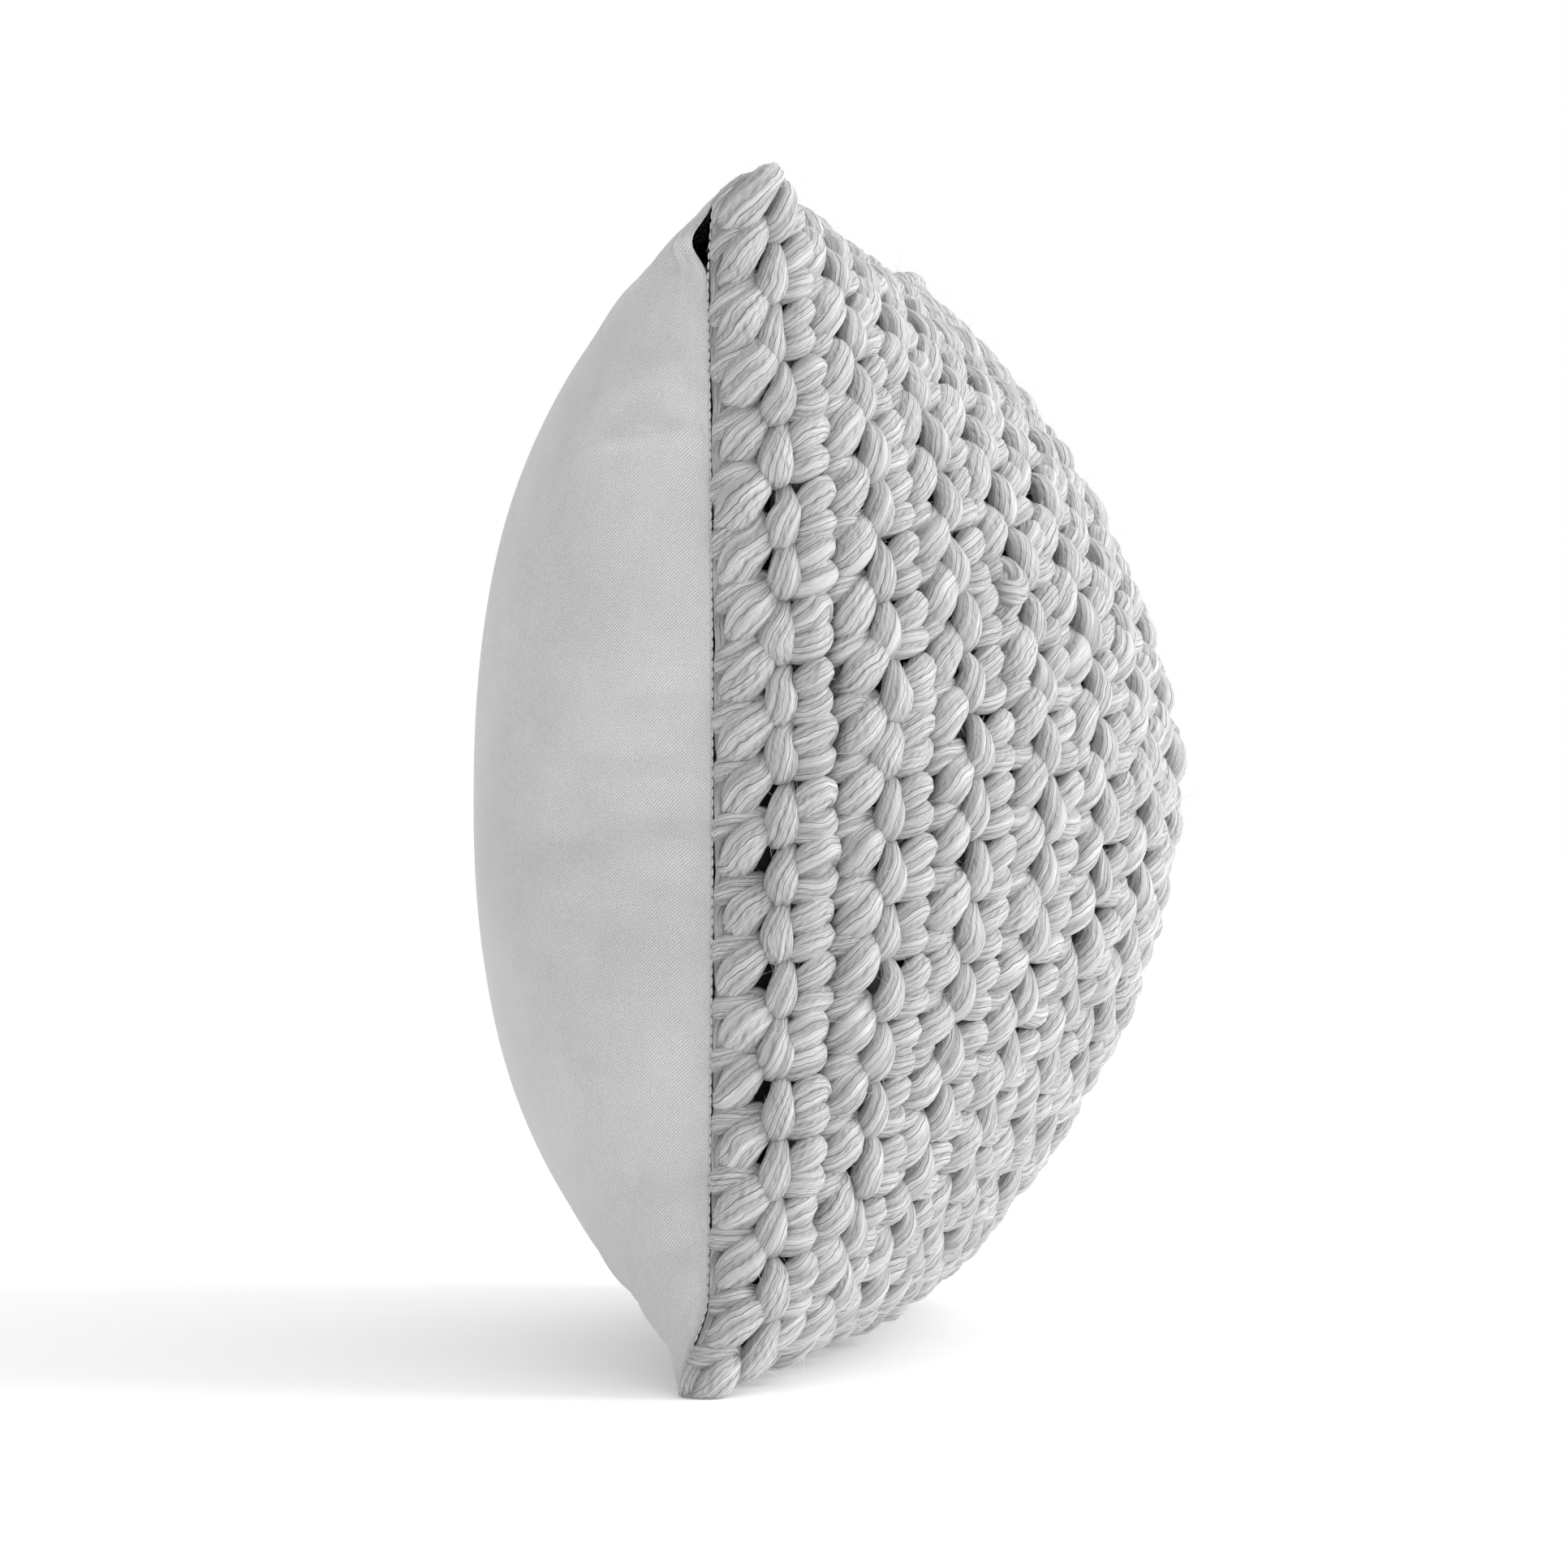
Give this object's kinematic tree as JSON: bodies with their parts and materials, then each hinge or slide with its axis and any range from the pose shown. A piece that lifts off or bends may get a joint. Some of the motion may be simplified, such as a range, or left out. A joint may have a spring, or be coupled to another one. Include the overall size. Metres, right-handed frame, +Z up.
{
  "type": "throw pillow",
  "caption": "Plump square throw pillow with a chunky crocheted front, satin back, hidden zip and loose fibre-filled insert.",
  "frame": {"origin": "on the floor under the middle of the pillow, midway between the crowns of its front and back", "axes": "+Z up, the crocheted front faces -Y, the satin back faces +Y, +X along the bottom seam towards the closed end of the zip"},
  "size_m": [0.45, 0.2704, 0.443],
  "materials": {
    "crochet_yarn": "satin",
    "satin": "satin",
    "sewing_thread": "matte",
    "lining": "matte",
    "zip_tape": "matte",
    "zip_nylon": "satin",
    "zip_metal": "satin",
    "casing": "matte",
    "fibre": "matte"
  },
  "bodies": {
    "cover": {"crochet_front": "crochet_yarn", "satin_back": "satin", "cover_seam_thread": "sewing_thread", "front_lining": "lining", "overlock_thread": "sewing_thread", "zip_tape_front": "zip_tape", "zip_tape_back": "zip_tape", "zip_coil_front": "zip_nylon", "zip_coil_back": "zip_nylon", "zip_top_stops": "zip_metal", "zip_bottom_stop": "zip_metal", "insert_front_casing": "casing", "insert_back_casing": "casing", "insert_seam_thread": "casing", "fibre_fill": "fibre"},
    "slider": {"zip_slider": "zip_metal"},
    "pull": {"zip_pull": "zip_metal"}
  },
  "joints": [
    {"name": "zip_slide", "type": "slide", "parent": "cover", "child": "slider", "axis": [1, 0, 0], "range_m": [-0.318, 0]},
    {"name": "pull_hinge", "type": "hinge", "parent": "slider", "child": "pull", "pos_m": [0.16087, 0.015, 0.02255], "axis": [0, 1, 0], "range_deg": [-90, 90]}
  ]
}
